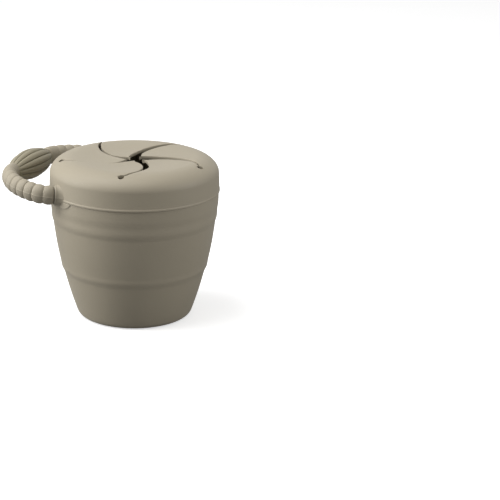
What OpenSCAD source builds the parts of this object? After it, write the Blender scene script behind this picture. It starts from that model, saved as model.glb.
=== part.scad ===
// Collapsible silicone snack cup for a toddler: a cup that folds flat, a lid cut into
// five curved flaps, and a ribbed loop handle with a fluted grip.
// Millimetres. The cup stands on Z = 0 with its axis on Z, and the handle points to -X.
// Left is +Y and right is -Y, as seen by the hand that holds the handle.

/* [Cup] */
// Height of the ledge where the lid's skirt sits on the cup
ledge_z = 73.4; // [70:0.2:78]
// Height of the lower fold line, where the foot of the cup ends
fold_low_z = 28; // [26:0.5:30]
// Height of the upper fold line, where the rim band starts
fold_high_z = 57.5; // [55:0.5:60]
// Radius that the cup's curved side would have on the ground
foot_r = 33.3; // [30:0.1:36]
// How strongly the side curves in towards the ground
belly = 1.86; // [1.6:0.02:2.1]
// Rounding where the foot meets the ground
foot_round = 4.5; // [3:0.25:6]
// Thickness of the floor
floor_t = 2.6; // [2:0.1:4]
// Rounding inside, between the floor and the side
floor_round = 6; // [4:0.5:8]
// Wall of the foot and of the rim band
cup_wall = 2; // [1.6:0.1:2.6]
// Wall of the soft part that folds
fold_wall_t = 1.3; // [0.9:0.05:1.6]
// How far the folding wall is set back behind the rim band
fold_step = 0.8; // [0.4:0.1:1.2]
// How far the foot is set back behind the folding wall
foot_step = 0.5; // [0.2:0.1:0.8]

/* [Neck] */
// Height of the neck that the lid's skirt covers
neck_h = 9.5; // [7:0.5:11]
// Wall of the neck
neck_t = 2; // [1.6:0.1:2.4]
// Gap between the neck and the lid's skirt
neck_gap = 0.7; // [0.5:0.05:0.9]
// How far the snap ring stands out of the neck
snap_proud = 0.4; // [0.2:0.05:0.4]
// Height of the snap ring above the ledge
snap_z = 6; // [4:0.5:7]

/* [Lid] */
// Outer diameter of the lid's skirt
lid_d = 96; // [94:0.5:100]
// Height of the lid above the ledge
lid_h = 18.6; // [17.5:0.2:21]
// Rounding of the lid's shoulder
shoulder_round = 8.5; // [7.5:0.25:9]
// Wall of the skirt and the shoulder
skirt_t = 2.2; // [1.8:0.1:2.4]
// Draft of the skirt, the amount it leans in below the shoulder
skirt_draft = 0.3; // [0:0.05:0.6]
// Wall of the sealing lip inside the neck
lip_t = 1; // [0.8:0.1:1.2]
// Gap between the sealing lip and the neck
lip_gap = 0.3; // [0.2:0.05:0.5]
// How far the sealing lip reaches down into the neck
lip_reach = 4; // [2:0.5:6]

/* [Flaps] */
// Thickness of a flap
flap_t = 1.9; // [1.5:0.1:2.1]
// Radius of the circle that the round slit ends lie on
hole_ring_r = 41; // [40:0.1:41.5]
// Diameter of a round slit end
hole_d = 3.2; // [2.4:0.1:3.4]
// Angle at the middle of the lid between a slit's start and its round end
slit_turn = 51; // [49:0.5:52.5]
// Width of a slit at its round end
slit_w_outer = 0.9; // [0.8:0.05:1.1]
// Width of a slit near the middle of the lid
slit_w_inner = 2.4; // [1.8:0.1:2.6]
// Radius of the small opening where the flap tips meet
tip_r = 2.6; // [2:0.1:3.2]
// Direction of the first slit end
slit_phase = -2; // [-10:0.5:10]

/* [Handle] */
// Width of the strap over its ribs, seen from above
strap_w = 8.8; // [8.4:0.1:9.2]
// Height of the strap over its ribs
strap_h = 11; // [10.5:0.1:12]
// Depth of the grooves between the ribs
rib_depth = 0.6; // [0.4:0.05:0.8]
// Number of ribs on each arm
rib_count = 8; // [8:1:8]
// Distance from one rib to the next, along the arm
rib_step = 5.3; // [5.1:0.05:5.5]
// Share of that distance that the rib's crown takes
rib_share = 0.5; // [0.4:0.02:0.6]
// Length of the plain collar between the ribs and the grip
collar_len = 8.4; // [7.8:0.1:9]
// Direction of each lug, seen from the lid's middle, away from the handle's middle
lug_angle = 53.5; // [51:0.5:55]
// Direction in which an arm leaves its lug, away from straight out
lug_heading = 39; // [37:0.5:41]
// How far each arm turns along its first two ribs
root_turn = 44; // [42:0.5:46]
// How far each arm turns along its other ribs
middle_turn = 55; // [53:0.5:57]
// Distance from the skirt to the middle of a lug's end face
lug_stand = 2.2; // [2:0.1:3]
// Height of the lug's middle above the ledge
lug_rise = 2.5; // [2:0.1:3.5]
// Upward tilt of the whole handle
strap_tilt = 5.8; // [4:0.1:8]
// Diameter of the fluted grip
grip_d = 17; // [15:0.2:18]
// Diameter of the grip's ends
grip_end_d = 7.4; // [7:0.1:8]
// Number of lobes on the grip
lobe_count = 12; // [10:1:14]
// Depth of the flutes, as a share of the grip's radius
flute_depth = 0.17; // [0.08:0.01:0.2]

/* [Hidden] */
$fn = 96;

flap_count = 5;
flap_step = 360 / flap_count;
sage = [0.6, 0.57, 0.49];
sage_dark = [0.52, 0.5, 0.42];

// Cup
lid_r = lid_d / 2;
rim_r = lid_r - 0.3;
neck_r = lid_r - skirt_t - neck_gap;
top_z = ledge_z + lid_h;

// Lid: the shoulder's arc has its middle here
shoulder_x = lid_r - skirt_draft - shoulder_round;
shoulder_z = top_z - shoulder_round;
lip_out = neck_r - neck_t - lip_gap;
lip_in = lip_out - lip_t;
lip_bottom_z = ledge_z + neck_h - lip_reach;

// Slits: each one is an arc through the lid's middle and its round end. Its two edges are
// circles moved apart along the arc's own axis, so that it is widest in the middle.
slit_r = hole_ring_r / 2 / sin(slit_turn);
edge_shift = (slit_w_inner - slit_w_outer) / 2 / (1 - cos(2 * slit_turn));
convex_r = slit_r + edge_shift - slit_w_inner / 2;
concave_r = slit_r - edge_shift + slit_w_inner / 2;
hinge_x = hole_ring_r * cos(flap_step / 2);
hinge_gap = 0.1;
flap_down = 47;
flap_up = 22;

// Handle: the arms lie in one plane, and each one is three bends in a row: its first two
// ribs, its other ribs and its collar. Stations are lengths along the arm, from its lug.
lug_z = ledge_z + lug_rise;
joint_x = (lid_r + lug_stand) * cos(lug_angle);
joint_y = (lid_r + lug_stand) * sin(lug_angle);
ribs_per_link = 2;
link_len = ribs_per_link * rib_step;
ribs_len = rib_count * rib_step;
arm_len = ribs_len + collar_len;
bend_from = [0, link_len, ribs_len];
bend_to = [link_len, ribs_len, arm_len];
bend_turn = [root_turn, middle_turn, lug_heading + 90 - root_turn - middle_turn];
bend_head = [lug_heading, lug_heading - root_turn, lug_heading - root_turn - middle_turn];
bend_r = [for (i = [0:2]) (bend_to[i] - bend_from[i]) * 180 / PI / bend_turn[i]];
// The middle that each bend turns about
mid_0 = [joint_x, joint_y] + bend_r[0] * [sin(bend_head[0]), -cos(bend_head[0])];
mid_1 = mid_0 + (bend_r[1] - bend_r[0]) * [sin(bend_head[1]), -cos(bend_head[1])];
mid_2 = mid_1 + (bend_r[2] - bend_r[1]) * [sin(bend_head[2]), -cos(bend_head[2])];
bend_mid = [mid_0, mid_1, mid_2];
// Half angle and half gap of the cut where two links of the strap bend
cut_angle = 12;
cut_gap = 0.15;
stud_r = 1.7;
stud_len = 2.2;
stud_head_r = 2.2;
stud_head_len = 1.6;
fit_gap = 0.1;
spigot_r = 2.4;
spigot_len = 4;
grip_x = mid_2[0] + bend_r[2];
grip_half = mid_2[1];
lug_over = 0.3;
overlap = 0.5;
far = 60;

// Outer radius of the rim band's curve at height z
function wall_r(z) = rim_r - (rim_r - foot_r) * pow(1 - z / ledge_z, belly);
function fold_r(z) = wall_r(z) - fold_step;
function foot_out_r(z) = fold_r(z) - foot_step;
// Points on an arc about (x, z), from angle a0 to angle a1
function arc(x, z, r, a0, a1, n = 10) =
    [for (i = [0:n]) let (a = a0 + (a1 - a0) * i / n) [x + r * cos(a), z + r * sin(a)]];
// Points up the foot's side, set in from its outside
function foot_side(z0, z1, inset, n = 8) =
    [for (i = [0:n]) let (z = z0 + (z1 - z0) * i / n) [foot_out_r(z) - inset, z]];

// Lean of the foot's side near the ground, from upright
foot_lean = atan((foot_out_r(foot_round) - foot_out_r(0)) / foot_round);

module cup_base() {
    foot_arc_z = foot_round * (1 - sin(foot_lean));
    foot_arc_x = foot_out_r(foot_arc_z) - foot_round * cos(foot_lean);
    floor_arc_z = floor_t + floor_round * (1 - sin(foot_lean));
    floor_arc_x = foot_out_r(floor_arc_z) - cup_wall - floor_round * cos(foot_lean);
    inner = foot_side(floor_arc_z, fold_low_z, cup_wall);
    color(sage)
    rotate_extrude()
    polygon(concat(
        [[0, 0]],
        arc(foot_arc_x, foot_round, foot_round, -90, -foot_lean),
        foot_side(foot_arc_z, fold_low_z, 0),
        [for (i = [len(inner) - 1:-1:0]) inner[i]],
        arc(floor_arc_x, floor_t + floor_round, floor_round, -foot_lean, -90),
        [[0, floor_t]]
    ));
}

module cup_fold_wall() {
    steps = 12;
    heights = [for (i = [0:steps]) fold_low_z + (fold_high_z - fold_low_z) * i / steps];
    color(sage)
    rotate_extrude()
    polygon(concat(
        [for (z = heights) [fold_r(z), z]],
        [for (i = [steps:-1:0]) [fold_r(heights[i]) - fold_wall_t, heights[i]]]
    ));
}

module cup_rim() {
    steps = 8;
    heights = [for (i = [0:steps]) fold_high_z + (ledge_z - fold_high_z) * i / steps];
    neck_in = neck_r - neck_t;
    neck_top_z = ledge_z + neck_h;
    lip_round = neck_t / 2;
    neck_foot_z = ledge_z - 7;
    snap_half = 1.2;
    color(sage)
    rotate_extrude()
    polygon(concat(
        [for (z = heights) [wall_r(z), z]],
        [
            [neck_r, ledge_z],
            [neck_r, ledge_z + snap_z - snap_half],
            [neck_r + snap_proud, ledge_z + snap_z - snap_half / 3],
            [neck_r + snap_proud, ledge_z + snap_z + snap_half / 3],
            [neck_r, ledge_z + snap_z + snap_half],
        ],
        arc(neck_r - lip_round, neck_top_z - lip_round, lip_round, 0, 180, 8),
        [
            [neck_in, ledge_z - 1],
            [wall_r(neck_foot_z) - cup_wall, neck_foot_z],
            [wall_r(fold_high_z) - cup_wall, fold_high_z],
        ]
    ));
}

// Puts its child at the middle of a slit's circle, moved out by shift
module at_slit(k, shift = 0) {
    rotate([0, 0, slit_phase + k * flap_step - (90 - slit_turn)])
    translate([slit_r + shift, 0, 0])
    children();
}

// The crescent that slit k removes from the lid, between its round end and the middle
module slit_band(k) {
    intersection() {
        difference() {
            at_slit(k, -edge_shift) translate([0, 0, top_z - far / 2]) cylinder(r = concave_r, h = far);
            at_slit(k, edge_shift) translate([0, 0, top_z - far]) cylinder(r = convex_r, h = 2 * far);
        }
        rotate([0, 0, slit_phase + k * flap_step]) translate([0, 0, top_z - far / 2]) cube(far);
    }
}

module slit_end(k) {
    rotate([0, 0, slit_phase + k * flap_step])
    translate([hole_ring_r, 0, top_z - shoulder_round / 2])
    cylinder(d = hole_d, h = shoulder_round, $fn = 32);
}

// Ring, shoulder, skirt and sealing lip, before the flaps are cut out
module lid_body() {
    under_r = shoulder_round - skirt_t;
    lip_out_a = acos((lip_out - shoulder_x) / under_r);
    lip_in_a = acos((lip_in - shoulder_x) / under_r);
    skirt_in = lid_r - skirt_t;
    snap_half = 1.6;
    snap_deep = snap_proud + 0.15;
    rotate_extrude()
    polygon(concat(
        [[0, top_z - skirt_t]],
        arc(shoulder_x, shoulder_z, under_r, 90, lip_in_a, 6),
        [[lip_in, lip_bottom_z], [lip_out, lip_bottom_z]],
        arc(shoulder_x, shoulder_z, under_r, lip_out_a, 0, 8),
        [
            [skirt_in, shoulder_z - 0.6],
            [skirt_in, ledge_z + snap_z + snap_half],
            [skirt_in + snap_deep, ledge_z + snap_z + snap_half / 3],
            [skirt_in + snap_deep, ledge_z + snap_z - snap_half / 3],
            [skirt_in, ledge_z + snap_z - snap_half],
            [skirt_in, ledge_z],
            [lid_r, ledge_z],
        ],
        arc(shoulder_x, shoulder_z, shoulder_round, 0, 90, 14),
        [[0, top_z]]
    ));
}

// Moves its child from the flat handle plane to the cup. Side is 1 for left, -1 for right.
module on_handle(side) {
    translate([-joint_x, 0, lug_z])
    rotate([0, strap_tilt, 0])
    translate([joint_x, 0, 0])
    mirror([1, 0, 0])
    scale_side(side)
    children();
}

module scale_side(side) {
    if (side > 0) children();
    else mirror([0, 1, 0]) children();
}

// Which bend a station lies on, and the arm's heading there
function bend_at(s) = s < bend_to[0] ? 0 : s < bend_to[1] ? 1 : 2;
function heading_on(i, s) = bend_head[i] - (s - bend_from[i]) * 180 / PI / bend_r[i];

// Puts its child on the arm's middle line at a station, with +Z along the arm
module on_arm(s) {
    i = bend_at(s);
    heading = heading_on(i, s);
    translate([bend_mid[i][0] - bend_r[i] * sin(heading), bend_mid[i][1] + bend_r[i] * cos(heading), 0])
    rotate([0, 0, heading])
    rotate([0, 90, 0])
    children();
}

// A lug's body: a short oval post that runs back into the skirt
module lug_body() {
    post_len = 14;
    on_arm(0) translate([0, 0, -post_len])
    linear_extrude(height = post_len)
    scale([1, (strap_w + lug_over) / (strap_h + lug_over)])
    circle(d = strap_h + lug_over);
}

module lug_stud() {
    on_arm(0) {
        translate([0, 0, -overlap]) cylinder(r = stud_r, h = stud_len + overlap, $fn = 32);
        translate([0, 0, stud_len])
        cylinder(r1 = stud_head_r, r2 = stud_r - 0.8, h = stud_head_len, $fn = 32);
    }
}

module lid_shell() {
    lug_clear_r = rim_r + 0.5;
    color(sage)
    difference() {
        union() {
            lid_body();
            for (side = [1, -1]) {
                on_handle(side) lug_stud();
                difference() {
                    on_handle(side) lug_body();
                    translate([0, 0, ledge_z - far]) cylinder(r = lug_clear_r, h = far);
                    translate([0, 0, ledge_z - overlap]) cylinder(r = lid_r - skirt_t / 2, h = far);
                }
            }
        }
        rotate([0, 0, slit_phase]) translate([0, 0, top_z - shoulder_round / 2])
        cylinder(r = hole_ring_r, h = shoulder_round, $fn = flap_count);
        for (k = [0:flap_count - 1]) {
            slit_end(k);
            slit_band(k);
        }
    }
}

// Flap k lies between slit k and the next one, and bends along the straight line hinge_x
// from the lid's axis. Its root is bevelled above and below so that it can swing both ways.
module lid_flap(k) {
    middle = slit_phase + (k + 0.5) * flap_step;
    root_x = hinge_x - hinge_gap;
    color(sage_dark)
    difference() {
        intersection() {
            at_slit(k + 1, edge_shift) translate([0, 0, top_z - flap_t]) cylinder(r = convex_r, h = flap_t);
            rotate([0, 0, middle]) translate([root_x - 2 * far, -far, top_z - far])
            cube([2 * far, 2 * far, 2 * far]);
        }
        at_slit(k, -edge_shift) translate([0, 0, top_z - far / 2]) cylinder(r = concave_r, h = far);
        slit_end(k);
        slit_end(k + 1);
        translate([0, 0, top_z - far / 2]) cylinder(r = tip_r, h = far, $fn = 32);
        rotate([0, 0, middle]) translate([root_x, 0, top_z - flap_t / 2]) {
            rotate([0, flap_down, 0]) translate([0, -far, -far]) cube([far, 2 * far, far]);
            rotate([0, -flap_up, 0]) translate([0, -far, 0]) cube([far, 2 * far, far]);
        }
    }
}

// A length of the arm from station s0 to s1, on bend i, with its oval section drawn in by inset
module arm_piece(i, s0, s1, inset) {
    from = heading_on(i, s1);
    translate([bend_mid[i][0], bend_mid[i][1], 0])
    rotate([0, 0, from + 90])
    rotate_extrude(angle = heading_on(i, s0) - from)
    translate([bend_r[i], 0])
    scale([(strap_w - 2 * inset) / (strap_h - 2 * inset), 1])
    circle(d = strap_h - 2 * inset, $fn = 48);
}

// The cone-shaped space that lets two links bend, on the far side of a link's end
module bend_cut(a, dir) {
    on_arm(a) mirror([0, 0, dir > 0 ? 0 : 1])
    rotate_extrude($fn = 48)
    polygon([
        [0, -cut_gap],
        [strap_h, -cut_gap - strap_h * tan(cut_angle)],
        [strap_h, strap_h / 2],
        [0, strap_h / 2],
    ]);
}

// Ribs first to last with the strap between them: each rib is a crown between two low steps.
// The strap runs on past the last rib by more.
module ribbed_arm(first, last, more = 0) {
    i = bend_at((first - 0.5) * rib_step);
    crown = rib_share * rib_step / 2;
    shoulder = crown + 0.3 * (rib_step / 2 - crown);
    side_step = crown + 0.75 * (rib_step / 2 - crown);
    arm_piece(i, (first - 1) * rib_step, last * rib_step + more, rib_depth);
    for (n = [first:last]) {
        middle = (n - 0.5) * rib_step;
        arm_piece(i, middle - side_step, middle + side_step, rib_depth / 2);
        arm_piece(i, middle - shoulder, middle + shoulder, rib_depth / 8);
        arm_piece(i, middle - crown, middle + crown, 0);
    }
}

module strap_root(side) {
    color(sage)
    on_handle(side)
    difference() {
        ribbed_arm(1, ribs_per_link);
        on_arm(0) {
            translate([0, 0, -strap_h]) cylinder(r = strap_h, h = strap_h);
            translate([0, 0, -overlap])
            cylinder(r = stud_r + fit_gap, h = stud_len + overlap, $fn = 32);
            translate([0, 0, stud_len - fit_gap])
            cylinder(r = stud_head_r + fit_gap, h = stud_head_len + 3 * fit_gap, $fn = 32);
        }
        bend_cut(link_len, 1);
    }
}

// Link n of the strap, counted from the root, bent at both ends
module strap_link(side, n) {
    color(sage)
    on_handle(side)
    difference() {
        ribbed_arm(n * ribs_per_link + 1, (n + 1) * ribs_per_link);
        bend_cut(n * link_len, -1);
        bend_cut((n + 1) * link_len, 1);
    }
}

module strap_far(side) {
    first = 3 * ribs_per_link + 1;
    color(sage)
    on_handle(side)
    difference() {
        union() {
            ribbed_arm(first, rib_count, overlap);
            arm_piece(2, ribs_len, arm_len, rib_depth / 4);
        }
        bend_cut(3 * link_len, -1);
        on_arm(arm_len) translate([0, 0, -spigot_len - fit_gap])
        cylinder(r = spigot_r + fit_gap, h = spigot_len + 1, $fn = 32);
    }
}

// Radius of the grip at u, from -1 to 1 along it, on a lobe's crest
function grip_r(u) = grip_end_d / 2 + (grip_d - grip_end_d) / 2 * pow(1 - u * u, 0.8);
// Radius at angle a round the grip: round lobes that meet in sharp flutes
function lobe_r(u, a) = grip_r(u) * (1 - flute_depth * (1 - pow(abs(cos(lobe_count * a / 2)), 0.7)));

module grip_bead() {
    rows = 18;
    around = lobe_count * 6;
    points = concat(
        [for (j = [0:rows], i = [0:around - 1])
            let (u = 2 * j / rows - 1, a = 360 * i / around, r = lobe_r(u, a))
            [r * cos(a), r * sin(a), u * grip_half]],
        [[0, 0, -grip_half], [0, 0, grip_half]]
    );
    low = (rows + 1) * around;
    faces = concat(
        [for (j = [0:rows - 1], i = [0:around - 1])
            let (n = (i + 1) % around) [j * around + i, (j + 1) * around + i, j * around + n]],
        [for (j = [0:rows - 1], i = [0:around - 1])
            let (n = (i + 1) % around) [(j + 1) * around + i, (j + 1) * around + n, j * around + n]],
        [for (i = [0:around - 1]) [low, i, (i + 1) % around]],
        [for (i = [0:around - 1]) [low + 1, rows * around + (i + 1) % around, rows * around + i]]
    );
    color(sage_dark)
    on_handle(1)
    translate([grip_x, 0, 0])
    rotate([90, 0, 0]) {
        polyhedron(points, faces);
        for (end = [0, 1]) mirror([0, 0, end]) translate([0, 0, grip_half - 1])
        cylinder(r = spigot_r, h = spigot_len + 1 - fit_gap, $fn = 32);
    }
}

cup_base();
cup_fold_wall();
cup_rim();
lid_shell();
lid_flap(0);  // lid_flap_1
lid_flap(1);  // lid_flap_2
lid_flap(2);  // lid_flap_3
lid_flap(3);  // lid_flap_4
lid_flap(4);  // lid_flap_5
strap_root(1);  // strap_root_left
strap_root(-1);  // strap_root_right
strap_link(1, 1);  // strap_near_left
strap_link(-1, 1);  // strap_near_right
strap_link(1, 2);  // strap_middle_left
strap_link(-1, 2);  // strap_middle_right
strap_far(1);  // strap_far_left
strap_far(-1);  // strap_far_right
grip_bead();
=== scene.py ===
"""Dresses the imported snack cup: matte skins on the CAD frame, a pale floor, soft lamps and the camera."""
import logging
import math
from dataclasses import dataclass, field
from enum import Enum

import bmesh
import bpy
import numpy as np
from mathutils import Matrix, Vector

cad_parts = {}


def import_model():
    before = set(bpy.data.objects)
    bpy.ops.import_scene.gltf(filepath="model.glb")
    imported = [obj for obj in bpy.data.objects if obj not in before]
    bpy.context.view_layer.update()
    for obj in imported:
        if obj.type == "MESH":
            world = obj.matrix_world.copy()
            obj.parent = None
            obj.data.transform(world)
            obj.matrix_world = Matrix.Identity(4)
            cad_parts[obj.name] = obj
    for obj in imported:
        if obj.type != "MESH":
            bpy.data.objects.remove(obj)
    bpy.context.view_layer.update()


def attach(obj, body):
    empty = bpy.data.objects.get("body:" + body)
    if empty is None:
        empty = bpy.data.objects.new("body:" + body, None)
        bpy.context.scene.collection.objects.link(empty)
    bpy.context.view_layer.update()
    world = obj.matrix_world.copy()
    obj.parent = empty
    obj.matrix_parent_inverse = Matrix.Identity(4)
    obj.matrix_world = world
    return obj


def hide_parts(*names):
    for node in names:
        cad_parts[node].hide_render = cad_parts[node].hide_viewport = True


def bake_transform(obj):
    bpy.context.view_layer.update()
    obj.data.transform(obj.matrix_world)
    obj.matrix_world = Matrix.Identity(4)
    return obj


logging.basicConfig(level=logging.INFO, format="%(message)s")
LOG = logging.getLogger("snack_cup")

MM = 0.001
AROUND = 288  # steps of a turned piece round its axis
MERGE = 2e-6  # metres; points nearer than this become one
SLIVER = 1e-7  # metres; shorter edges are taken out
CREASE = math.radians(48.0)  # sharper corners than this stay sharp
Array = np.ndarray


class Side(Enum):
    """The two arms of the handle: the value is the sign of Y."""

    LEFT = 1
    RIGHT = -1

    @property
    def word(self) -> str:
        """The side's name in lower case, as the node names have it."""
        return self.name.lower()


# ---------------------------------------------------------------- numbers to meshes


def smooth(t: Array) -> Array:
    """Smoothstep of t clipped to 0..1: t squared times (3 - 2 t).

    Args:
        t: Any array.

    Returns:
        The eased array.
    """
    t = np.clip(t, 0.0, 1.0)
    return t * t * (3.0 - 2.0 * t)


def bump(x: Array, centre: float, half: float) -> Array:
    """A bell of height 1: exp(-((x - centre) / half) squared).

    Args:
        x: Positions.
        centre: Where the bell peaks.
        half: Distance at which it has fallen to 1/e.

    Returns:
        The bell's height at each x.
    """
    return np.exp(-(((x - centre) / half) ** 2))


def rounded(corners: list[tuple[float, float, float]], step: float = 1.4, arc_points: int = 7) -> Array:
    """A closed or open outline whose corners are arcs and whose straights are cut into short steps.

    A corner (x, z, r) is replaced by the arc of radius r that touches both its sides. The first and the last
    corner stay sharp.

    Args:
        corners: The outline's corners in millimetres, each with its radius.
        step: Longest step along a straight, in millimetres.
        arc_points: Points on each arc.

    Returns:
        The outline's points, n by 2.
    """
    points = [np.array(corners[0][:2], float)]
    for before, here, after in zip(corners, corners[1:], corners[2:]):
        p, q, s = (np.array(c[:2], float) for c in (before, here, after))
        to_p, to_s = (p - q) / np.linalg.norm(p - q), (s - q) / np.linalg.norm(s - q)
        half = 0.5 * math.acos(float(np.clip(to_p @ to_s, -1.0, 1.0)))
        if here[2] <= 0 or half > 0.5 * math.pi - 0.02:
            points.append(q)
            continue
        reach = here[2] / math.tan(half)
        middle = q + (to_p + to_s) / np.linalg.norm(to_p + to_s) * here[2] / math.sin(half)
        start, end = q + to_p * reach - middle, q + to_s * reach - middle
        sweep = math.atan2(start[0] * end[1] - start[1] * end[0], float(start @ end))
        angles = np.linspace(0.0, sweep, arc_points)
        turn = np.stack([np.cos(angles), np.sin(angles)], 1)
        points.extend(middle + np.stack([
            start[0] * turn[:, 0] - start[1] * turn[:, 1],
            start[0] * turn[:, 1] + start[1] * turn[:, 0]], 1))
    points.append(np.array(corners[-1][:2], float))
    outline = [points[0]]
    for a, b in zip(points, points[1:]):
        pieces = max(1, math.ceil(float(np.linalg.norm(b - a)) / step))
        outline.extend(a + (b - a) * k / pieces for k in range(1, pieces + 1))
    return np.array(outline)


def grid_faces(rows: int, columns: int, wrap_rows: bool = False, wrap_columns: bool = False) -> list:
    """Quads of a grid whose vertex (i, j) has the index i * columns + j.

    Args:
        rows: Rows of vertices.
        columns: Vertices in a row.
        wrap_rows: Whether the last row joins the first.
        wrap_columns: Whether the last column joins the first.

    Returns:
        The quads as lists of four indices.
    """
    i = np.arange(rows if wrap_rows else rows - 1)[:, None]
    j = np.arange(columns if wrap_columns else columns - 1)[None, :]
    i2, j2 = (i + 1) % rows, (j + 1) % columns
    quads = np.stack(np.broadcast_arrays(
        i * columns + j, i * columns + j2, i2 * columns + j2, i2 * columns + j), -1)
    return quads.reshape(-1, 4).tolist()


def make_piece(name: str, points: Array, faces: list, finish: bpy.types.Material) -> bpy.types.Object:
    """Makes a closed mesh object at the origin, smooth but for its corners, with its place in its mesh.

    Args:
        name: The piece's name.
        points: Vertices in millimetres, n by 3.
        faces: Lists of vertex indices.
        finish: Its material.

    Returns:
        The new object.
    """
    mesh = bpy.data.meshes.new(name)
    mesh.from_pydata((np.asarray(points).reshape(-1, 3) * MM).tolist(), [], faces)
    shape = bmesh.new()
    shape.from_mesh(mesh)
    bmesh.ops.remove_doubles(shape, verts=shape.verts, dist=MERGE)
    bmesh.ops.dissolve_degenerate(shape, edges=shape.edges, dist=SLIVER)
    bmesh.ops.recalc_face_normals(shape, faces=shape.faces)
    shape.to_mesh(mesh)
    shape.free()
    mesh.polygons.foreach_set("use_smooth", [True] * len(mesh.polygons))
    mesh.set_sharp_from_angle(angle=CREASE)
    mesh.materials.append(finish)
    mesh.update()
    piece = bpy.data.objects.new(name, mesh)
    bpy.context.scene.collection.objects.link(piece)
    LOG.info("%-22s %6d faces", name, len(mesh.polygons))
    return piece


def lathe(name: str, outline: Array, finish: bpy.types.Material, closed: bool) -> bpy.types.Object:
    """Turns an outline about Z: (r, z) goes to (r cos a, r sin a, z).

    Args:
        name: The piece's name.
        outline: Points (r, z) in millimetres. An open outline starts and ends on the axis.
        finish: Its material.
        closed: Whether the outline's end joins its start.

    Returns:
        The new object.
    """
    a = np.linspace(0.0, 2.0 * math.pi, AROUND, endpoint=False)[None, :]
    r, z = outline[:, :1], outline[:, 1:]
    points = np.stack([r * np.cos(a), r * np.sin(a), np.broadcast_to(z, (len(outline), AROUND))], -1)
    return make_piece(name, points, grid_faces(len(outline), AROUND, closed, True), finish)


# ---------------------------------------------------------------- finishes


def link(tree: bpy.types.NodeTree, source: bpy.types.NodeSocket, target: bpy.types.NodeSocket) -> None:
    """Joins two sockets."""
    tree.links.new(source, target)


def set_inputs(node: bpy.types.Node, values: dict[str, object]) -> None:
    """Sets a node's inputs by name."""
    for key, value in values.items():
        node.inputs[key].default_value = value


def new_node(tree: bpy.types.NodeTree, kind: str, **settings: object) -> bpy.types.Node:
    """Adds a shader node and sets its properties.

    Args:
        tree: The tree that gets the node.
        kind: The node's type, without "ShaderNode".
        **settings: Properties by name.

    Returns:
        The node.
    """
    node = tree.nodes.new("ShaderNode" + kind)
    for key, value in settings.items():
        setattr(node, key, value)
    return node


def new_group(name: str, inputs: dict[str, tuple[str, object]], outputs: dict[str, str]) -> tuple:
    """Makes an empty shader group with named sockets.

    Args:
        name: The group's name.
        inputs: Socket name to (socket kind, default value).
        outputs: Socket name to socket kind.

    Returns:
        The tree, its input node and its output node.
    """
    tree = bpy.data.node_groups.new(name, "ShaderNodeTree")
    for key, (kind, value) in inputs.items():
        tree.interface.new_socket(key, in_out="INPUT", socket_type="NodeSocket" + kind).default_value = value
    for key, kind in outputs.items():
        tree.interface.new_socket(key, in_out="OUTPUT", socket_type="NodeSocket" + kind)
    return tree, tree.nodes.new("NodeGroupInput"), tree.nodes.new("NodeGroupOutput")


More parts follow.
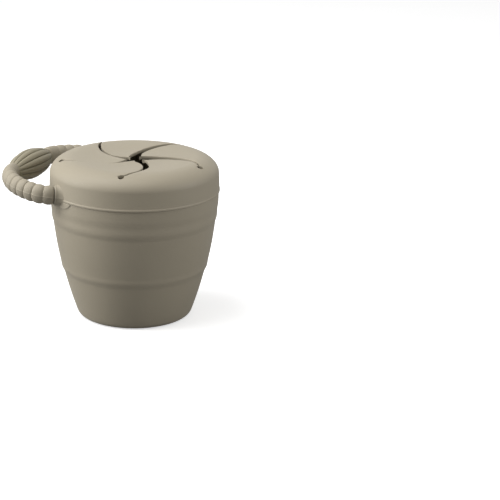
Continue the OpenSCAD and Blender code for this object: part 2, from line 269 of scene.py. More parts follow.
def soft_skin_group() -> bpy.types.NodeTree:
    """Moulded silicone: slow tone drift, fine grain, and pale dust specks, all on Object coordinates.

    Returns:
        The group, with outputs Color, Roughness and Height.
    """
    tree, given, out = new_group(
        "soft_skin",
        {"Color": ("Color", (0.34, 0.3, 0.23, 1)), "Drift": ("Float", 0.06), "Dust": ("Float", 0.3),
         "Roughness": ("Float", 0.55), "Grain": ("Float", 1.0)},
        {"Color": "Color", "Roughness": "Float", "Height": "Float"})
    where = new_node(tree, "TexCoord")
    drift = new_node(tree, "TexNoise")
    set_inputs(drift, {"Scale": 28.0, "Detail": 3.0})
    grain = new_node(tree, "TexNoise")
    set_inputs(grain, {"Scale": 2600.0, "Detail": 2.0})
    matt = new_node(tree, "TexNoise")
    set_inputs(matt, {"Scale": 420.0, "Detail": 4.0})
    specks = new_node(tree, "TexVoronoi")
    specks.inputs["Scale"].default_value = 330.0
    for texture in (drift, grain, matt, specks):
        link(tree, where.outputs["Object"], texture.inputs["Vector"])
    lift = new_node(tree, "Math", operation="SUBTRACT")
    lift.inputs[1].default_value = 0.5
    link(tree, drift.outputs["Fac"], lift.inputs[0])
    scale = new_node(tree, "Math", operation="MULTIPLY_ADD")
    link(tree, lift.outputs[0], scale.inputs[0])
    link(tree, given.outputs["Drift"], scale.inputs[1])
    scale.inputs[2].default_value = 1.0
    toned = new_node(tree, "VectorMath", operation="SCALE")
    link(tree, given.outputs["Color"], toned.inputs[0])
    link(tree, scale.outputs[0], toned.inputs["Scale"])
    small = new_node(tree, "MapRange")
    set_inputs(small, {"From Min": 0.05, "From Max": 0.09, "To Min": 1.0, "To Max": 0.0})
    link(tree, specks.outputs["Distance"], small.inputs["Value"])
    rare = new_node(tree, "MapRange")
    set_inputs(rare, {"From Min": 0.56, "From Max": 0.66})
    link(tree, matt.outputs["Fac"], rare.inputs["Value"])
    speckle = new_node(tree, "Math", operation="MULTIPLY")
    link(tree, small.outputs[0], speckle.inputs[0])
    link(tree, rare.outputs[0], speckle.inputs[1])
    dust = new_node(tree, "Math", operation="MULTIPLY")
    link(tree, speckle.outputs[0], dust.inputs[0])
    link(tree, given.outputs["Dust"], dust.inputs[1])
    mix = new_node(tree, "Mix", data_type="RGBA")
    link(tree, dust.outputs[0], mix.inputs["Factor"])
    link(tree, toned.outputs[0], mix.inputs["A"])
    mix.inputs["B"].default_value = (0.62, 0.58, 0.5, 1)
    link(tree, mix.outputs["Result"], out.inputs["Color"])
    rough = new_node(tree, "Math", operation="MULTIPLY_ADD")
    link(tree, matt.outputs["Fac"], rough.inputs[0])
    rough.inputs[1].default_value = 0.14
    rough_base = new_node(tree, "Math", operation="SUBTRACT")
    link(tree, given.outputs["Roughness"], rough_base.inputs[0])
    rough_base.inputs[1].default_value = 0.07
    link(tree, rough_base.outputs[0], rough.inputs[2])
    link(tree, rough.outputs[0], out.inputs["Roughness"])
    height = new_node(tree, "Math", operation="MULTIPLY")
    link(tree, grain.outputs["Fac"], height.inputs[0])
    link(tree, given.outputs["Grain"], height.inputs[1])
    link(tree, height.outputs[0], out.inputs["Height"])
    return tree


@dataclass(frozen=True)
class SiliconeFinish:
    """A moulded silicone colour and how matte it is."""

    name: str
    color: tuple[float, float, float]
    roughness: float = 0.56
    drift: float = 0.06
    dust: float = 0.25
    grain: float = 1.0
    sheen: float = 0.18

    def make(self, group: bpy.types.NodeTree) -> bpy.types.Material:
        """Builds the material round the shared group.

        Args:
            group: The soft skin group.

        Returns:
            The material.
        """
        material = bpy.data.materials.new(self.name)
        material.use_nodes = True
        tree = material.node_tree
        shader = tree.nodes["Principled BSDF"]
        skin = new_node(tree, "Group", node_tree=group)
        set_inputs(skin, {
            "Color": (*self.color, 1.0), "Drift": self.drift, "Dust": self.dust,
            "Roughness": self.roughness, "Grain": self.grain})
        relief = new_node(tree, "Bump")
        set_inputs(relief, {"Strength": 0.12, "Distance": 0.00012})
        link(tree, skin.outputs["Height"], relief.inputs["Height"])
        link(tree, skin.outputs["Color"], shader.inputs["Base Color"])
        link(tree, skin.outputs["Roughness"], shader.inputs["Roughness"])
        link(tree, relief.outputs["Normal"], shader.inputs["Normal"])
        set_inputs(shader, {
            "Specular IOR Level": 0.4, "Sheen Weight": self.sheen, "Sheen Roughness": 0.45,
            "Sheen Tint": (0.9, 0.88, 0.82, 1.0)})
        return material


# ---------------------------------------------------------------- the cup


@dataclass
class Cup:
    """The cup's one soft moulding, as three skins: foot, folding wall and rim band. Sizes in millimetres."""

    finish: bpy.types.Material
    ledge_z: float = 73.4
    fold_low_z: float = 28.0
    fold_high_z: float = 57.5
    rim_r: float = 47.7
    foot_r: float = 33.3
    belly: float = 1.86
    wall: float = 2.0
    fold_wall: float = 1.3
    floor: float = 2.6
    neck_r: float = 45.1
    neck_wall: float = 2.0
    neck_h: float = 9.5
    snap: float = 0.4
    foot_corner_z: float = 5.6
    foot_round: float = 4.6
    floor_round: float = 5.5
    recess_r: float = 21.0
    recess_slope: float = 0.6
    recess_h: float = 0.5

    def side(self, z: Array) -> Array:
        """Radius of the smooth side: rim_r less (rim_r - foot_r) (1 - z / ledge) to the power belly."""
        below = np.clip(1.0 - z / self.ledge_z, 0.0, 1.0)
        return self.rim_r - (self.rim_r - self.foot_r) * below**self.belly

    def outer(self, z: Array) -> Array:
        """The side with its set-backs: the folding wall lies behind the band, and the foot behind the wall.

        Args:
            z: Heights.

        Returns:
            Outer radii. The band steps in softly twice, and the foot once, under a faint lip.
        """
        band = smooth((self.fold_high_z + 10.0 - z) / 4.6)
        high = smooth((self.fold_high_z + 1.4 - z) / 3.4)
        low = smooth((self.fold_low_z + 1.6 - z) / 3.8)
        lip = 0.2 * bump(z, self.fold_low_z + 2.2, 1.6) + 0.15 * bump(z, self.fold_high_z + 2.4, 1.8)
        return self.side(z) - 0.3 * band - 0.45 * high - 0.5 * low + lip

    def outer_at(self, z: float) -> float:
        """The outer radius at one height."""
        return float(self.outer(np.array([z]))[0])

    def column(self, z0: float, z1: float, inset: float = 0.0, step: float = 0.7) -> Array:
        """Points up the side from z0 to z1, set in from its outside."""
        z = np.linspace(z0, z1, max(2, math.ceil(abs(z1 - z0) / step) + 1))
        return np.stack([self.outer(z) - inset, z], 1)

    def build_foot(self) -> bpy.types.Object:
        """The foot: a dish whose floor meets the side in a round corner, inside and outside.

        Returns:
            The foot's skin, on the cup's body.
        """
        z_top, corner_z = self.fold_low_z, self.foot_corner_z
        under = rounded([
            (0, self.recess_h, 0), (self.recess_r, self.recess_h, 0.5),
            (self.recess_r + self.recess_slope, 0.0, 0.5), (self.outer_at(0.0), 0.0, self.foot_round),
            (self.outer_at(corner_z), corner_z, 0)], arc_points=12)
        inside_z = self.floor + 6.5
        floor = rounded([
            (self.outer_at(inside_z) - self.wall, inside_z, 0),
            (self.outer_at(self.floor) - self.wall, self.floor, self.floor_round),
            (0, self.floor, 0)], arc_points=12)
        outline = np.concatenate([
            under[:-1], self.column(corner_z, z_top), self.column(z_top, inside_z, self.wall)[:-1], floor])
        piece = lathe("cup_foot_skin", outline, self.finish, closed=False)
        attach(piece, "cup")
        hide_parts("cup_base")
        return piece

    def build_fold(self) -> bpy.types.Object:
        """The folding wall: a thin sleeve between the folds, which rolls inside out as the rim goes down.

        Returns:
            The wall's skin.
        """
        z0, z1 = self.fold_low_z, self.fold_high_z
        outline = np.concatenate([self.column(z0, z1, 0.0, 0.5), self.column(z1, z0, self.fold_wall, 0.5)])
        piece = lathe("cup_fold_skin", outline, self.finish, closed=True)
        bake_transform(piece)
        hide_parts("cup_fold_wall")
        return piece

    def build_rim(self) -> bpy.types.Object:
        """The rim band, its ledge, and the neck with its snap ring.

        Returns:
            The rim's skin, on the rim's body.
        """
        z0, ledge = self.fold_high_z, self.ledge_z
        neck, inner = self.neck_r, self.neck_r - self.neck_wall
        top, shelf_z, seat_z = ledge + self.neck_h, ledge - 1.0, ledge - 7.0
        seat_r = float(self.side(np.array([seat_z]))[0]) - self.wall
        upper = rounded([
            (self.outer_at(shelf_z), shelf_z, 0), (self.rim_r, ledge, 0.3), (neck, ledge, 0.4),
            (neck, ledge + 4.8, 0.4), (neck + self.snap, ledge + 5.7, 0.3),
            (neck + self.snap, ledge + 6.3, 0.3), (neck, ledge + 7.2, 0.4), (neck, top, 0.95),
            (inner, top, 0.95), (inner, shelf_z, 2.0), (seat_r, seat_z, 0)])
        z = np.linspace(seat_z, z0, 24)[1:]
        thin = self.wall - 0.9 * smooth((z0 + 5.0 - z) / 5.0)
        inside = np.stack([self.outer(z) - thin, z], 1)
        outline = np.concatenate([self.column(z0, shelf_z)[:-1], upper, inside])
        piece = lathe("cup_rim_skin", outline, self.finish, closed=True)
        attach(piece, "rim")
        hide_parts("cup_rim")
        return piece

    def build(self) -> list[bpy.types.Object]:
        """Builds the three skins."""
        return [self.build_foot(), self.build_fold(), self.build_rim()]


# ---------------------------------------------------------------- the lid


@dataclass
class Lid:
    """The lid: shoulder, skirt and lugs, and five flaps parted by curved slits. Sizes in millimetres."""

    finish: bpy.types.Material
    lid_r: float = 48.0
    ledge_z: float = 73.4
    top_z: float = 92.0
    shoulder: float = 8.5
    draft: float = 0.3
    wall: float = 2.2
    flap_t: float = 1.9
    hole_ring: float = 41.0
    hole_r: float = 1.75
    slit_turn: float = math.radians(51.0)
    slit_phase: float = math.radians(-2.0)
    step: float = math.radians(72.0)
    tip_r: float = 4.4
    unevenness: tuple[float, ...] = (0.25, -0.35, 0.1, 0.4, -0.2)
    openness: tuple[float, ...] = (0.9, 1.0, 0.55, 0.05, 1.0)
    sag: float = 1.6
    crest: float = 0.6
    crest_r: float = 34.0
    flap_edge: float = 0.32
    slit_half: float = 0.52
    slit_open_r: float = 20.0
    star_r: float = 3.4
    seam: float = 0.26
    lip_out: float = 42.8
    lip_in: float = 41.8
    lip_z: float = 78.9

    def crown(self, r: Array) -> Array:
        """Height of the lid's outside: flat, then the shoulder, a quarter ellipse that starts at crest_r.

        Args:
            r: Distance from the axis.

        Returns:
            Heights: the shoulder's middle height plus its own height times the root of 1 - t squared.
        """
        t = np.clip((r - self.crest_r) / (self.lid_r - self.draft - self.crest_r), 0.0, 1.0)
        return self.top_z - self.shoulder + (self.shoulder + self.crest) * np.sqrt(1.0 - t**2)

    def slit_angle(self, r: Array) -> Array:
        """Angle from a slit's round end to its middle line at radius r: turn - asin(r sin(turn) / ring)."""
        return self.slit_turn - np.arcsin(np.clip(r * math.sin(self.slit_turn) / self.hole_ring, 0.0, 1.0))

    def half_gap(self, r: Array, slit: int) -> Array:
        """Half of a slit's width as an angle at radius r.

        Args:
            r: Distance from the axis.
            slit: Which slit, 0 to 5; 5 is the first one again.

        Returns:
            The angle: half the slit is slit_half near the round end and grows inward by its openness, and the
            slits open to a star at the tips.
        """
        lean = np.sqrt(np.clip(1.0 - (r * math.sin(self.slit_turn) / self.hole_ring) ** 2, 0.05, 1.0))
        half = self.slit_half + self.openness[slit % 5] * smooth((self.hole_ring - r) / self.slit_open_r)
        star = 0.5 * self.step * np.exp(-((r - self.tip_r) / self.star_r))
        return np.minimum(half / (r * lean) + star, 0.5 * self.step - 0.002)

    def hole_reach(self, r: Array) -> Array:
        """Half angle that the round end covers at radius r, 0 clear of it."""
        return np.sqrt(np.clip(self.hole_r**2 - (self.hole_ring - r) ** 2, 0.0, None)) / r

    def build_flap(self, index: int) -> bpy.types.Object:
        """One flap: rows at one radius each, and every row a loop round the flap's section.

        The point (u, r) lies at the slit's middle line turned by u times 72 degrees, with u kept clear of both
        slits.

        Args:
            index: 0 to 4, counted from the slit phase.

        Returns:
            The flap's skin.
        """
        near_hole = self.hole_ring - self.hole_r * np.sin(np.linspace(0.0, 0.5 * math.pi, 9))
        rest = np.linspace(self.hole_ring - self.hole_r - 0.12, self.tip_r, 52)
        r = np.concatenate([near_hole, rest])[:, None]
        middle = self.slit_angle(r)
        low = np.maximum(middle + self.half_gap(r, index), self.hole_reach(r))
        high = self.step + middle - self.half_gap(r, index + 1)
        high = np.where(self.hole_reach(r) > 0, np.minimum(high, self.step - self.hole_reach(r)), high)
        edge = self.flap_edge
        corner = np.linspace(0.0, 0.5 * math.pi, 5)
        inset = np.concatenate([edge * (1 - np.sin(corner)), [0.0], (edge * (1 - np.cos(corner)))[1:]])
        depth = np.concatenate([
            -self.flap_t + edge * (1 - np.cos(corner)), [-0.5 * self.flap_t],
            (-edge * (1 - np.sin(corner)))[1:]])
        across = np.linspace(0.0, 1.0, 25)[1:-1]
        width = (high - low) * r
        pad = np.minimum(inset[None, :], 0.45 * width) / r
        left = low + pad
        right = high - pad[:, ::-1]
        top = low + pad[:, -1:] + (high - low - 2.0 * pad[:, -1:]) * across[None, :]
        under = high - pad[:, :1] - (high - low - 2.0 * pad[:, :1]) * across[None, :]
        angle = np.concatenate([left, top, right, under], 1)
        rows = len(r)
        down = np.concatenate([depth, np.zeros(len(across)), depth[::-1], np.full(len(across), -self.flap_t)])
        loop = len(down)
        radius = np.broadcast_to(r, (rows, loop))
        share = np.clip((self.hole_ring - radius) / self.hole_ring, 0.0, 1.0)
        swing = (angle - low) / np.maximum(high - low, 1e-6)
        lift = self.unevenness[index] * share**2 - self.sag * smooth(share * 1.5)
        lift = lift + 0.35 * (0.5 - swing) * smooth(share * 3.0)
        z = self.crown(radius) + lift + down[None, :]
        turned = angle + self.slit_phase + index * self.step
        points = np.stack([radius * np.cos(turned), radius * np.sin(turned), z], -1)
        faces = grid_faces(rows, loop, False, True)
        faces += [list(range(loop)), list(range((rows - 1) * loop, rows * loop))]
        piece = make_piece(f"flap_skin_{index + 1}", points, faces, self.finish)
        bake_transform(piece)
        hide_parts(f"lid_flap_{index + 1}")
        return piece

    def hole_edge(self) -> Array:
        """The flaps' border from above: the ring, with a half circle bulging out at each round end.

        Returns:
            Points (angle, radius), once round.
        """
        bulge = np.linspace(-0.5 * math.pi, 0.5 * math.pi, 17)
        wide = math.asin(self.hole_r / self.hole_ring)
        calm = np.linspace(wide, self.step - wide, 60)[1:-1]
        out, across = self.hole_ring + self.hole_r * np.cos(bulge), self.hole_r * np.sin(bulge)
        angle, radius = [], []
        for k in range(5):
            at = self.slit_phase + k * self.step
            angle += [at + np.arctan2(across, out), at + calm]
            radius += [np.hypot(across, out), np.full(len(calm), self.hole_ring)]
        return np.stack([np.concatenate(angle), np.concatenate(radius)], 1)

    def roof(self, r: float) -> float:
        """Height of the shoulder's inside at radius r: a circle that lies a wall inside the shoulder."""
        under = self.shoulder - self.wall
        off = r - (self.lid_r - self.draft - self.shoulder)
        return self.top_z - self.shoulder + math.sqrt(max(under**2 - off**2, 0.0))

    def build_shell(self) -> bpy.types.Object:
        """Shoulder, skirt, sealing lip and underside, as one section carried round the flaps' border.

        Returns:
            The shell's skin, on the lid's body.
        """
        edge = self.hole_edge()
        r0, turn = edge[:, 1][None, :], edge[:, 0][None, :]
        inner, foot = self.lid_r - self.wall, self.ledge_z
        settle = self.hole_ring + self.hole_r + 0.6
        share = np.linspace(0.0, 1.0, 7)[:, None]
        plate_r = r0 + (settle - r0) * share
        plate_z = self.crown(plate_r)
        reach = self.lid_r - self.draft - self.crest_r
        arc = np.linspace(math.asin((settle - self.crest_r) / reach), 0.5 * math.pi, 22)[1:]
        centre_r = self.lid_r - self.draft - self.shoulder
        centre_z = self.top_z - self.shoulder
        shoulder = np.stack([self.crest_r + reach * np.sin(arc),
                             centre_z + (self.shoulder + self.crest) * np.cos(arc)], 1)
        under = self.shoulder - self.wall
        seam_r = self.lid_r + self.seam
        skirt = rounded([
            (self.lid_r - self.draft, centre_z, 0), (self.lid_r, foot + 1.4, 0.8),
            (seam_r, foot + 0.95, 0.15), (seam_r, foot + 0.3, 0.15), (self.lid_r + 0.05, foot, 0.12),
            (inner, foot, 0.5), (inner, foot + 4.2, 0.3), (inner + 0.5, foot + 5.4, 0.3),
            (inner + 0.5, foot + 6.6, 0.3), (inner, foot + 7.8, 0.3), (inner, centre_z - 0.8, 1.0),
            (centre_r + under * math.cos(0.35), centre_z + under * math.sin(0.35), 0.5),
            (self.lip_out, self.roof(self.lip_out), 0.3), (self.lip_out, self.lip_z, 0.3),
            (self.lip_in, self.lip_z, 0.3), (self.lip_in, self.roof(self.lip_in), 0)])
        section = np.concatenate([shoulder, skirt[1:]])
        around = edge.shape[0]
        shown_r = np.broadcast_to(section[:, :1], (len(section), around))
        shown_z = np.broadcast_to(section[:, 1:], (len(section), around))
        back = np.linspace(0.0, 1.0, 4)[:, None]
        by_lip = self.lip_in - 0.4
        roof_r = np.minimum(by_lip + (r0 - by_lip) * back, self.lip_in - 0.1)
        roof_r[-1] = r0[0]
        roof_z = self.crown(roof_r) - self.flap_t
        radius = np.concatenate([plate_r, shown_r, roof_r])
        height = np.concatenate([plate_z, shown_z, roof_z])
        angle = np.broadcast_to(turn, radius.shape)
        points = np.stack([radius * np.cos(angle), radius * np.sin(angle), height], -1)
        piece = make_piece("lid_skin", points, grid_faces(len(radius), around, True, True), self.finish)
        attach(piece, "lid")
        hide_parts("lid_shell")
        return piece

    def build(self) -> list[bpy.types.Object]:
        """Builds the shell and the five flaps."""
        return [self.build_shell()] + [self.build_flap(k) for k in range(5)]


# ---------------------------------------------------------------- the handle


@dataclass
class Handle:
    """The ribbed strap, its lugs and the fluted grip.

    The strap's middle line lies in a tilted plane: three bends in a row, over two ribs, six ribs and the
    collar. Stations are lengths along it in millimetres, from the lug.
    """

    finish: bpy.types.Material
    grip_finish: bpy.types.Material
    lid_r: float = 48.0
    ledge_z: float = 73.4
    lug_rise: float = 2.5
    lug_stand: float = 2.2
    lug_angle: float = math.radians(53.5)
    tilt: float = math.radians(5.8)
    rib_step: float = 5.3
    collar: float = 8.4
    headings: tuple[float, ...] = (39.0, -5.0, -60.0, -90.0)
    half_width: float = 4.4
    half_height: float = 5.5
    groove: float = 0.78
    grip_r: float = 8.5
    grip_end_r: float = 3.7
    lobes: int = 12
    joint: Array = field(init=False)
    stations: Array = field(init=False)
    radii: Array = field(init=False)
    middles: Array = field(init=False)

    def __post_init__(self) -> None:
        """Works out the lug's end, and each bend's first station, radius and middle, in the handle's plane."""
        toward = np.array([math.cos(self.lug_angle), math.sin(self.lug_angle)])
        self.joint = (self.lid_r + self.lug_stand) * toward
        ribs = 8 * self.rib_step
        self.stations = np.array([0.0, 2 * self.rib_step, ribs, ribs + self.collar])
        head = np.radians(self.headings)
        self.radii = np.diff(self.stations) / -np.diff(head)
        side = np.stack([np.sin(head), -np.cos(head)], 1)
        middles = [self.joint + self.radii[0] * side[0]]
        for k in (1, 2):
            middles.append(middles[-1] + (self.radii[k] - self.radii[k - 1]) * side[k])
        self.middles = np.array(middles)

    @property
    def length(self) -> float:
        """Length of an arm along its middle line."""
        return float(self.stations[3])

    def place(self, points: Array, side: Side) -> Array:
        """Moves points from the handle's plane (x out of the cup, y sideways, z up) to the row frame.

        Args:
            points: n by 3, in millimetres.
            side: Which arm.

        Returns:
            The points, tilted about the lugs and turned to -X.
        """
        x, y, z = np.moveaxis(np.asarray(points, float), -1, 0)
        reach = x - self.joint[0]
        c, s = math.cos(self.tilt), math.sin(self.tilt)
        return np.stack([-self.joint[0] - reach * c + z * s, y * side.value,
                         self.ledge_z + self.lug_rise + reach * s + z * c], -1)

    def spine(self, at: Array) -> tuple[Array, Array, Array]:
        """Middle line of an arm at each station, with its outward side and its direction.

        Args:
            at: Stations; below 0 the line runs straight back into the lid.

        Returns:
            Points, sideways unit vectors and forward unit vectors, each n by 2.
        """
        on = np.clip(at, 0.0, self.length)
        h = np.interp(on, self.stations, np.radians(self.headings))
        bend = np.clip(np.searchsorted(self.stations, on, side="right") - 1, 0, 2)
        forward = np.stack([np.cos(h), np.sin(h)], -1)
        sideways = np.stack([-np.sin(h), np.cos(h)], -1)
        middle = self.middles[bend] + self.radii[bend][:, None] * sideways
        return middle + forward * (at - on)[:, None], sideways, forward

    def tube(
            self, at: Array, inset: Array, side: Side, low_inset: Array | None = None, ends: int = 5) -> Array:
        """Carries an oval along the arm: centre + (w cos b) sideways + (h sin b) up, with flat shut ends.

        Args:
            at: Stations.
            inset: How far the oval is drawn in at each of them; negative grows it.
            side: Which arm.
            low_inset: The same for the oval's lower half, if it differs.
            ends: Rings with which each end closes.

        Returns:
            Points in the row frame, rings by points round by 3. A thin moulding line stands out on both
            sides.
        """
        low_inset = inset if low_inset is None else low_inset
        shut = np.linspace(1.0, 0.0, ends)
        scale = np.concatenate([shut[::-1], np.ones(len(at)), shut])[:, None]
        at, inset, low_inset = (
            np.concatenate([np.full(ends, v[0]), v, np.full(ends, v[-1])]) for v in (at, inset, low_inset))
        middle, sideways, _ = self.spine(at)
        by_line = np.array([-0.05, -0.025, 0.025, 0.05])
        even = np.linspace(-0.5, 1.5, 72, endpoint=False) * math.pi
        b = np.sort(np.concatenate([even, by_line, by_line + math.pi]))[None, :]
        flash = 0.16 * bump(np.sin(b), 0.0, 0.026)
        wide = (self.half_width - inset[:, None] + flash) * scale * np.cos(b)
        drawn_in = np.where((b < 0.0) | (b > math.pi), low_inset[:, None], inset[:, None])
        high = (self.half_height - drawn_in) * scale * np.sin(b)
        flat = middle[:, None, :] + wide[..., None] * sideways[:, None, :]
        return self.place(np.concatenate([flat, high[..., None]], -1), side)

    def skin(self, name: str, points: Array) -> bpy.types.Object:
        """Makes a strap piece from a tube's points."""
        rings, around = points.shape[:2]
        return make_piece(name, points, grid_faces(rings, around, False, True), self.finish)

    def rib_inset(self, at: Array) -> Array:
        """How far the strap is drawn in: narrow grooves between round ribs, then a plain collar.

        Args:
            at: Stations.

        Returns:
            The inset: groove times (1 - |sin| to a power that keeps the grooves narrow), fading into the
            collar.
        """
        wave = np.abs(np.sin(math.pi * at / self.rib_step))
        ends = self.stations[2]
        fade = 1.0 - 0.15 * smooth((at - 4.5 * self.rib_step) / (2.0 * self.rib_step))
        plain = smooth((at - ends - 0.3) / 1.4)
        return self.groove * fade * (1.0 - wave**0.55) * (1.0 - plain) + 0.12 * plain

    def build_arm(self, side: Side) -> list[bpy.types.Object]:
        """The arm in three lengths, each spanning one hinge, parted in a groove.

        Args:
            side: Which arm.

        Returns:
            The three pieces.
        """
        cuts = [0.0, 3 * self.rib_step, 5 * self.rib_step, self.length]
        stands_for = [["strap_root"], ["strap_near"], ["strap_middle", "strap_far"]]
        pieces = []
        for n, word in enumerate(("near", "middle", "far")):
            at = np.linspace(cuts[n], cuts[n + 1], round((cuts[n + 1] - cuts[n]) / self.rib_step * 22) + 1)
            inset = self.rib_inset(at)
            if n == 0:
                inset = inset + 0.55 * smooth((0.7 - at) / 0.7)
            if n == 2:
                inset = inset + 0.7 * smooth((at - self.length + 0.9) / 0.9)
            piece = self.skin(f"arm_{word}_{side.word}", self.tube(at, inset, side))
            hinge = 2 * (n + 1) * self.rib_step
            line, _, _ = self.spine(np.array([hinge - 0.8 * self.rib_step, hinge + 0.8 * self.rib_step]))
            a, b = self.place(np.array([[line[0, 0], 0.0, 0.0], [line[1, 0], 0.0, 0.0]]), side) * MM
            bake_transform(piece)
            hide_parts(*[f"{node}_{side.word}" for node in stands_for[n]])
            pieces.append(piece)
        return pieces

    def build_lug(self, side: Side) -> bpy.types.Object:
        """The lug: the strap's oval carried back into the lid, flaring up and sideways at the skirt.

        Args:
            side: Which arm.

        Returns:
            The lug's skin, on the lid's body. Its hidden part lies in the skirt's wall, clear of the cup below.
        """
        back = np.linspace(-11.0, -0.12, 48)
        edge = 0.5 * smooth((back + 0.6) / 0.4)
        flare = 5.2 * smooth((-0.8 - back) / 9.0)
        points = self.tube(back, -0.12 - flare + edge, side, low_inset=edge - 0.12)
        away = np.hypot(points[..., 0], points[..., 1])
        least = self.lid_r - 0.9 + 0.98 * smooth((self.ledge_z + 0.4 - points[..., 2]) / 0.8)
        points[..., :2] *= (np.maximum(away, least) / away)[..., None]
        piece = self.skin(f"lug_{side.word}", points)
        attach(piece, "lid")
        return piece

    def build_grip(self) -> bpy.types.Object:
        """The fluted grip: a spindle whose lobes meet in narrow flutes.

        Its radius at u, from -1 to 1, is end + (middle - end) (1 - u squared) to the power 0.8, less the flute.

        Returns:
            The grip, on the handle's body.
        """
        half = self.middles[2, 1]
        u = np.sin(np.linspace(-0.5 * math.pi, 0.5 * math.pi, 61))[:, None]
        around = self.lobes * 20
        a = np.linspace(0.0, 2.0 * math.pi, around, endpoint=False)[None, :]
        body = self.grip_end_r + (self.grip_r - self.grip_end_r) * (1.0 - u * u) ** 0.8
        flute = 1.0 - np.abs(np.cos(0.5 * self.lobes * a)) ** 0.26
        r = body * (1.0 - 0.23 * flute * smooth((1.0 - np.abs(u)) * 7.0))
        shut = np.array([0.0, 0.5, 0.9])[:, None]
        r = np.concatenate([r[:1] * shut, r, r[-1:] * shut[::-1]])
        u = np.concatenate([np.full((3, 1), -1.0), u, np.full((3, 1), 1.0)])
        x = self.middles[2, 0] + self.radii[2] + r * np.cos(a)
        points = np.stack([x, np.broadcast_to(u * half, x.shape), r * np.sin(a)], -1)
        piece = make_piece("grip_skin", self.place(points, Side.LEFT),
                           grid_faces(len(r), around, False, True), self.grip_finish)
        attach(piece, "handle")
        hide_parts("grip_bead")
        return piece

    def build(self) -> list[bpy.types.Object]:
        """Builds both arms, both lugs and the grip."""
        pieces = []
        for side in Side:
            pieces += self.build_arm(side)
            pieces.append(self.build_lug(side))
        return pieces + [self.build_grip()]


# ---------------------------------------------------------------- studio


@dataclass(frozen=True)
class Softbox:
    """One area lamp that looks at a point. Metres and watts."""

    name: str
    place: tuple[float, float, float]
    size: tuple[float, float]
    power: float
    color: tuple[float, float, float] = (1.0, 1.0, 1.0)

    def build(self, target: Vector) -> None:
        """Adds the lamp, turned to the target."""
        lamp = bpy.data.lights.new(self.name, "AREA")
        lamp.shape = "RECTANGLE"
        lamp.size, lamp.size_y = self.size
        lamp.energy = self.power
        lamp.color = self.color
        holder = bpy.data.objects.new(self.name, lamp)
        holder.location = self.place
        holder.rotation_euler = (target - Vector(self.place)).to_track_quat("-Z", "Y").to_euler()
        bpy.context.scene.collection.objects.link(holder)


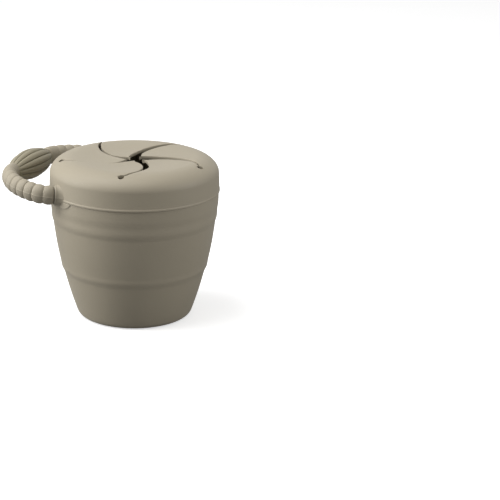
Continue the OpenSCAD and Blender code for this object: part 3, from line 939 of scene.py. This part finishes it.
@dataclass
class Studio:
    """Camera, floor, world and lamps."""

    target: Vector = field(default_factory=lambda: Vector((0.0, 0.0, 0.0432)))
    distance: float = 0.96
    azimuth: float = math.radians(26.5)
    elevation: float = math.radians(17.53)
    focal_px: float = 1673.6
    target_px: tuple[float, float] = (134.75, 239.43)
    frame_px: float = 500.0
    sensor: float = 36.0
    world: float = 0.38

    def build_camera(self) -> bpy.types.Object:
        """Places the camera so that the target falls on target_px of the photograph's frame.

        Returns:
            The camera.
        """
        c, s = math.cos(self.elevation), math.sin(self.elevation)
        out = Vector((math.sin(self.azimuth) * c, -math.cos(self.azimuth) * c, s))
        lens = bpy.data.cameras.new("camera")
        lens.sensor_fit = "HORIZONTAL"
        lens.sensor_width = self.sensor
        lens.lens = self.focal_px * self.sensor / self.frame_px
        lens.clip_start, lens.clip_end = 0.05, 20.0
        camera = bpy.data.objects.new("camera", lens)
        half = 0.5 * self.frame_px
        yaw = math.atan((half - self.target_px[0]) / self.focal_px)
        pitch = math.atan((half - self.target_px[1]) / self.focal_px)
        facing = (-out).to_track_quat("-Z", "Y").to_matrix().to_4x4()
        camera.matrix_world = (Matrix.Translation(self.target + out * self.distance) @ facing
                               @ Matrix.Rotation(-yaw, 4, "Y") @ Matrix.Rotation(-pitch, 4, "X"))
        bpy.context.scene.collection.objects.link(camera)
        bpy.context.scene.camera = camera
        return camera

    def build_floor(self) -> bpy.types.Object:
        """A pale floor, white to the camera away from the cup's shadow, and dim to the cup's side.

        Returns:
            The floor.
        """
        mesh = bpy.data.meshes.new("floor")
        mesh.from_pydata([(-3, -3, 0), (3, -3, 0), (3, 3, 0), (-3, 3, 0)], [], [(0, 1, 2, 3)])
        floor = bpy.data.objects.new("floor", mesh)
        bpy.context.scene.collection.objects.link(floor)
        material = bpy.data.materials.new("floor_white")
        material.use_nodes = True
        tree = material.node_tree
        surface = tree.nodes["Principled BSDF"]
        surface.inputs["Roughness"].default_value = 0.9
        glow = new_node(tree, "Emission")
        ray = new_node(tree, "LightPath")
        seen = new_node(tree, "Math", operation="MULTIPLY")
        seen.inputs[1].default_value = 0.55
        tone = new_node(tree, "Mix", data_type="RGBA")
        set_inputs(tone, {"A": (0.22, 0.22, 0.22, 1), "B": (0.8, 0.8, 0.8, 1)})
        link(tree, ray.outputs["Is Camera Ray"], tone.inputs["Factor"])
        link(tree, tone.outputs["Result"], surface.inputs["Base Color"])
        link(tree, ray.outputs["Is Camera Ray"], seen.inputs[0])
        link(tree, seen.outputs[0], glow.inputs["Strength"])
        both = new_node(tree, "AddShader")
        link(tree, surface.outputs[0], both.inputs[0])
        link(tree, glow.outputs[0], both.inputs[1])
        link(tree, both.outputs[0], tree.nodes["Material Output"].inputs["Surface"])
        mesh.materials.append(material)
        return floor

    def build_world(self) -> None:
        """A soft even world that looks white to the camera and in reflections."""
        world = bpy.data.worlds.new("studio")
        bpy.context.scene.world = world
        world.use_nodes = True
        tree = world.node_tree
        back = tree.nodes["Background"]
        ray = new_node(tree, "LightPath")
        either = new_node(tree, "Math", operation="MAXIMUM")
        link(tree, ray.outputs["Is Camera Ray"], either.inputs[0])
        link(tree, ray.outputs["Is Transmission Ray"], either.inputs[1])
        level = new_node(tree, "MapRange")
        set_inputs(level, {"To Min": self.world, "To Max": 1.0})
        link(tree, either.outputs[0], level.inputs["Value"])
        link(tree, level.outputs[0], back.inputs["Strength"])
        back.inputs["Color"].default_value = (1, 1, 1, 1)

    def build(self) -> None:
        """Builds the whole studio."""
        self.build_camera()
        self.build_floor()
        self.build_world()
        lamps = [
            Softbox("lamp_above", (-0.3, -0.2, 0.86), (0.8, 0.6), 6.4),
            Softbox("lamp_left", (-0.76, -0.4, 0.36), (0.4, 0.6), 6.0),
            Softbox("lamp_right", (0.75, 0.15, 0.3), (0.3, 0.5), 2.0),
        ]
        for lamp in lamps:
            lamp.build(self.target)
        bpy.context.scene.view_settings.view_transform = "Standard"


def main() -> None:
    """Builds the studio and every piece over the CAD frame."""
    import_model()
    Studio().build()
    group = soft_skin_group()
    body = SiliconeFinish("silicone_body", (0.34, 0.3, 0.225)).make(group)
    strap = SiliconeFinish("silicone_strap", (0.33, 0.292, 0.22), roughness=0.6, dust=0.5).make(group)
    grip = SiliconeFinish("silicone_grip", (0.27, 0.242, 0.168), roughness=0.5, dust=0.15).make(group)
    for piece in Cup(body).build():
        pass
    for piece in Lid(body).build():
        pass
    for piece in Handle(strap, grip).build():
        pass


if __name__ == "__main__":
    main()
